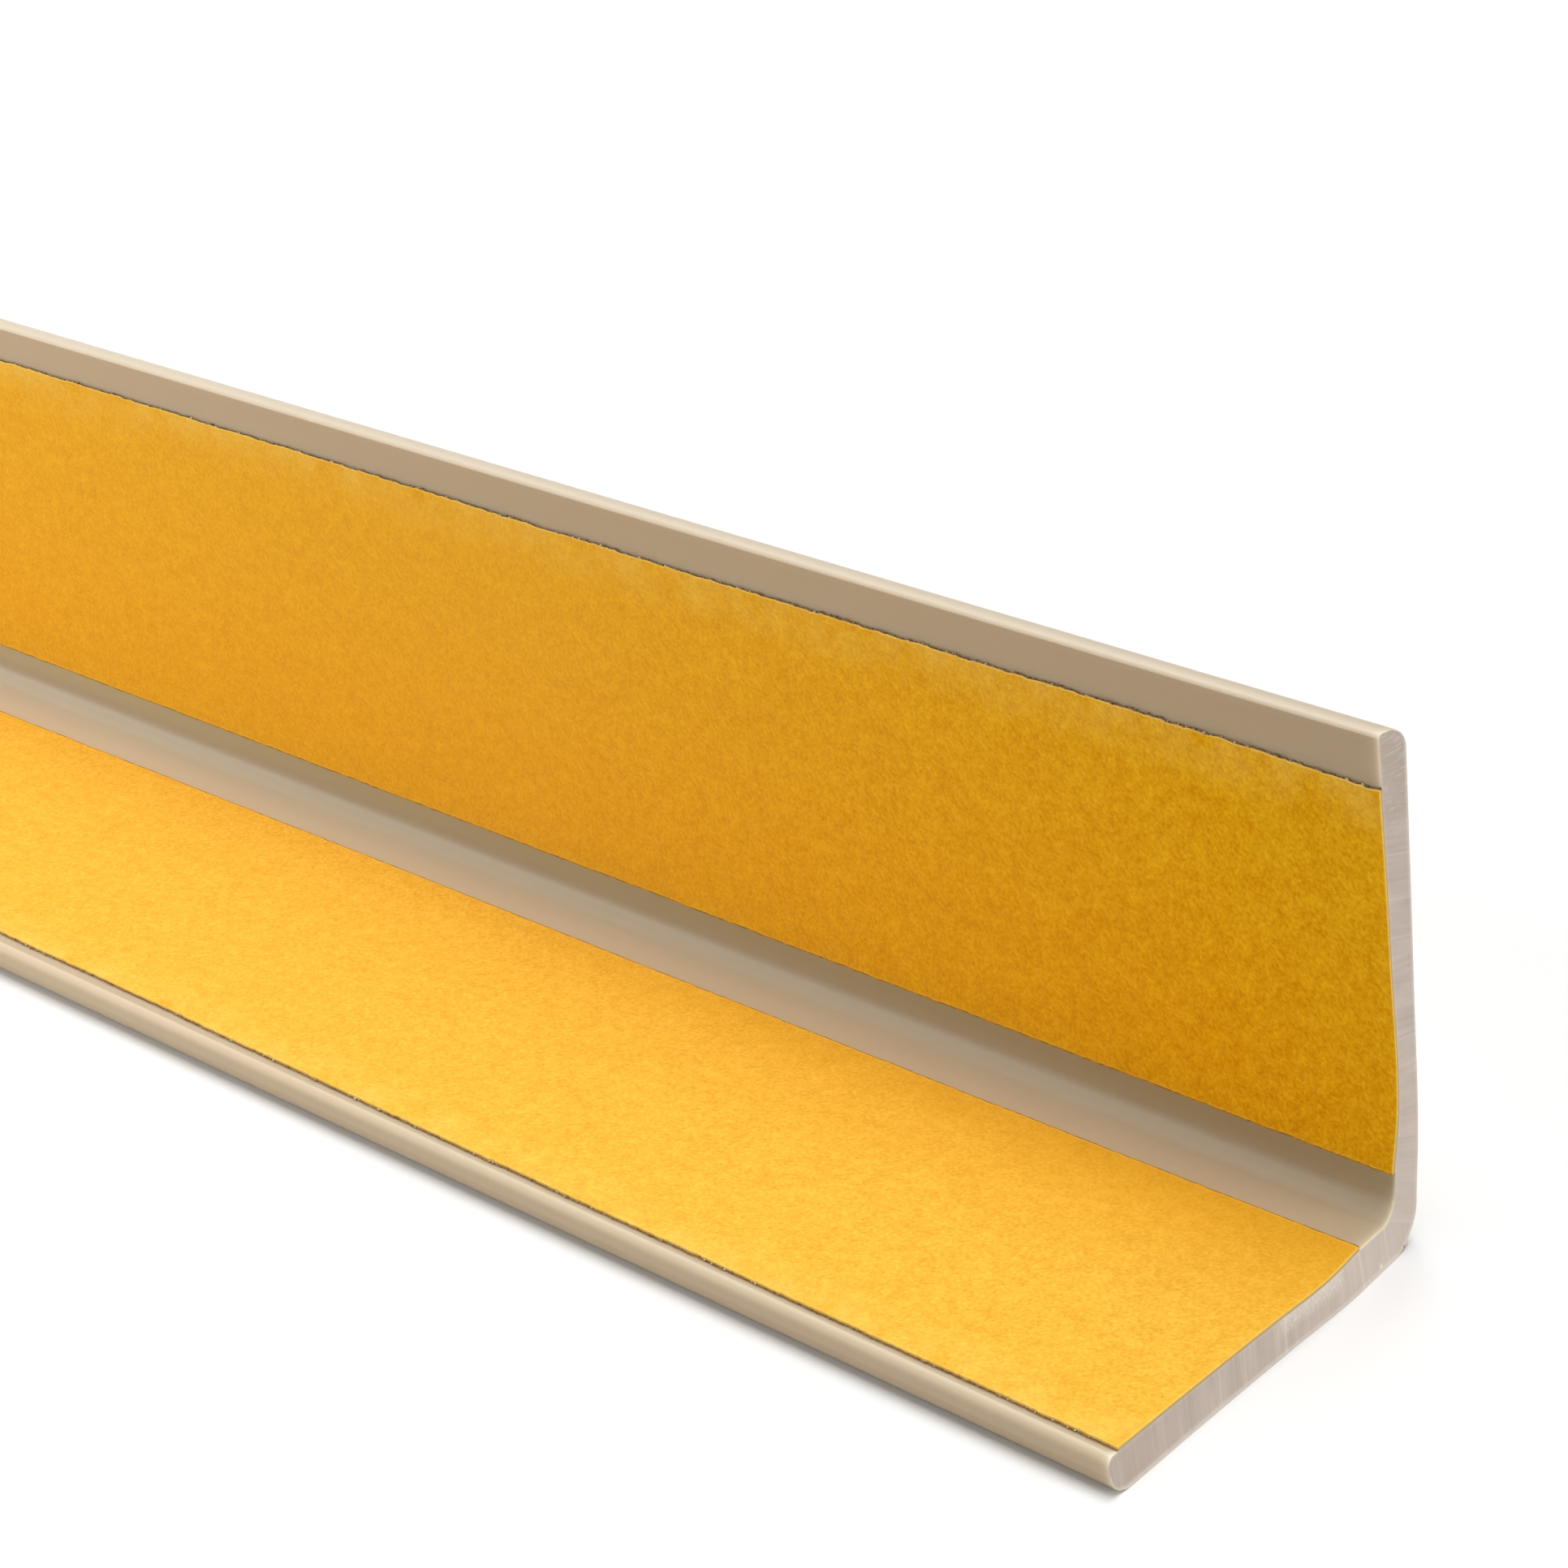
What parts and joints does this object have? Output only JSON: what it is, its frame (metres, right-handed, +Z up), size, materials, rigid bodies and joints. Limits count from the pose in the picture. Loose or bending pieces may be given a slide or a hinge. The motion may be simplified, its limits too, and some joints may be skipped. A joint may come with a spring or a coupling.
{
  "type": "corner guard moulding",
  "caption": "Length of L-section PVC corner guard with rounded corner and tips, and double-sided tape under yellow paper liners on both inner faces.",
  "frame": {"origin": "middle of the underside of the bounding box, where the lower leg lies on the floor", "axes": "+X along the length towards the raked cut, +Y from the open side to the upright leg, +Z up along the upright leg"},
  "size_m": [1, 0.025, 0.025],
  "materials": {
    "pvc": "satin",
    "glue": "satin",
    "liner_paper": "matte"
  },
  "bodies": {
    "root": {"angle_profile": "pvc", "upper_adhesive_strip": "glue", "lower_adhesive_strip": "glue", "upper_release_liner": "liner_paper", "lower_release_liner": "liner_paper"}
  },
  "joints": []
}
